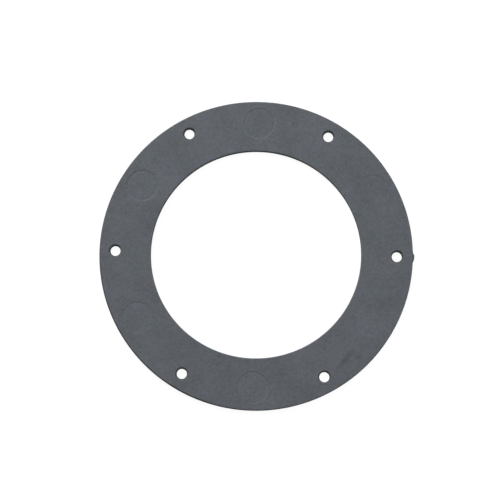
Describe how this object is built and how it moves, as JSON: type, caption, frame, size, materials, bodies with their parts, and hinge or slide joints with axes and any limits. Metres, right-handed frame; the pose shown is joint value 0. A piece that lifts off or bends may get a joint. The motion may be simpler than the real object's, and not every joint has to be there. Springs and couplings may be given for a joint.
{
  "type": "toilet flange floor ring",
  "caption": "Flat round plastic floor ring for a toilet flange, with a wide pipe opening, screw holes near its rim and shallow ejector marks on its top face.",
  "frame": {"origin": "centre of the screw-hole circle, on the plane of the plain underside", "axes": "+Z along the ring's axis, out of the top face that carries the ejector marks; +X through the screw hole beside the gate nub"},
  "size_m": [0.1787, 0.1778, 0.003],
  "materials": {
    "grey_plastic": "moulded satin, faintly mottled"
  },
  "bodies": {
    "root": {"flange_ring": "grey_plastic"}
  },
  "joints": []
}
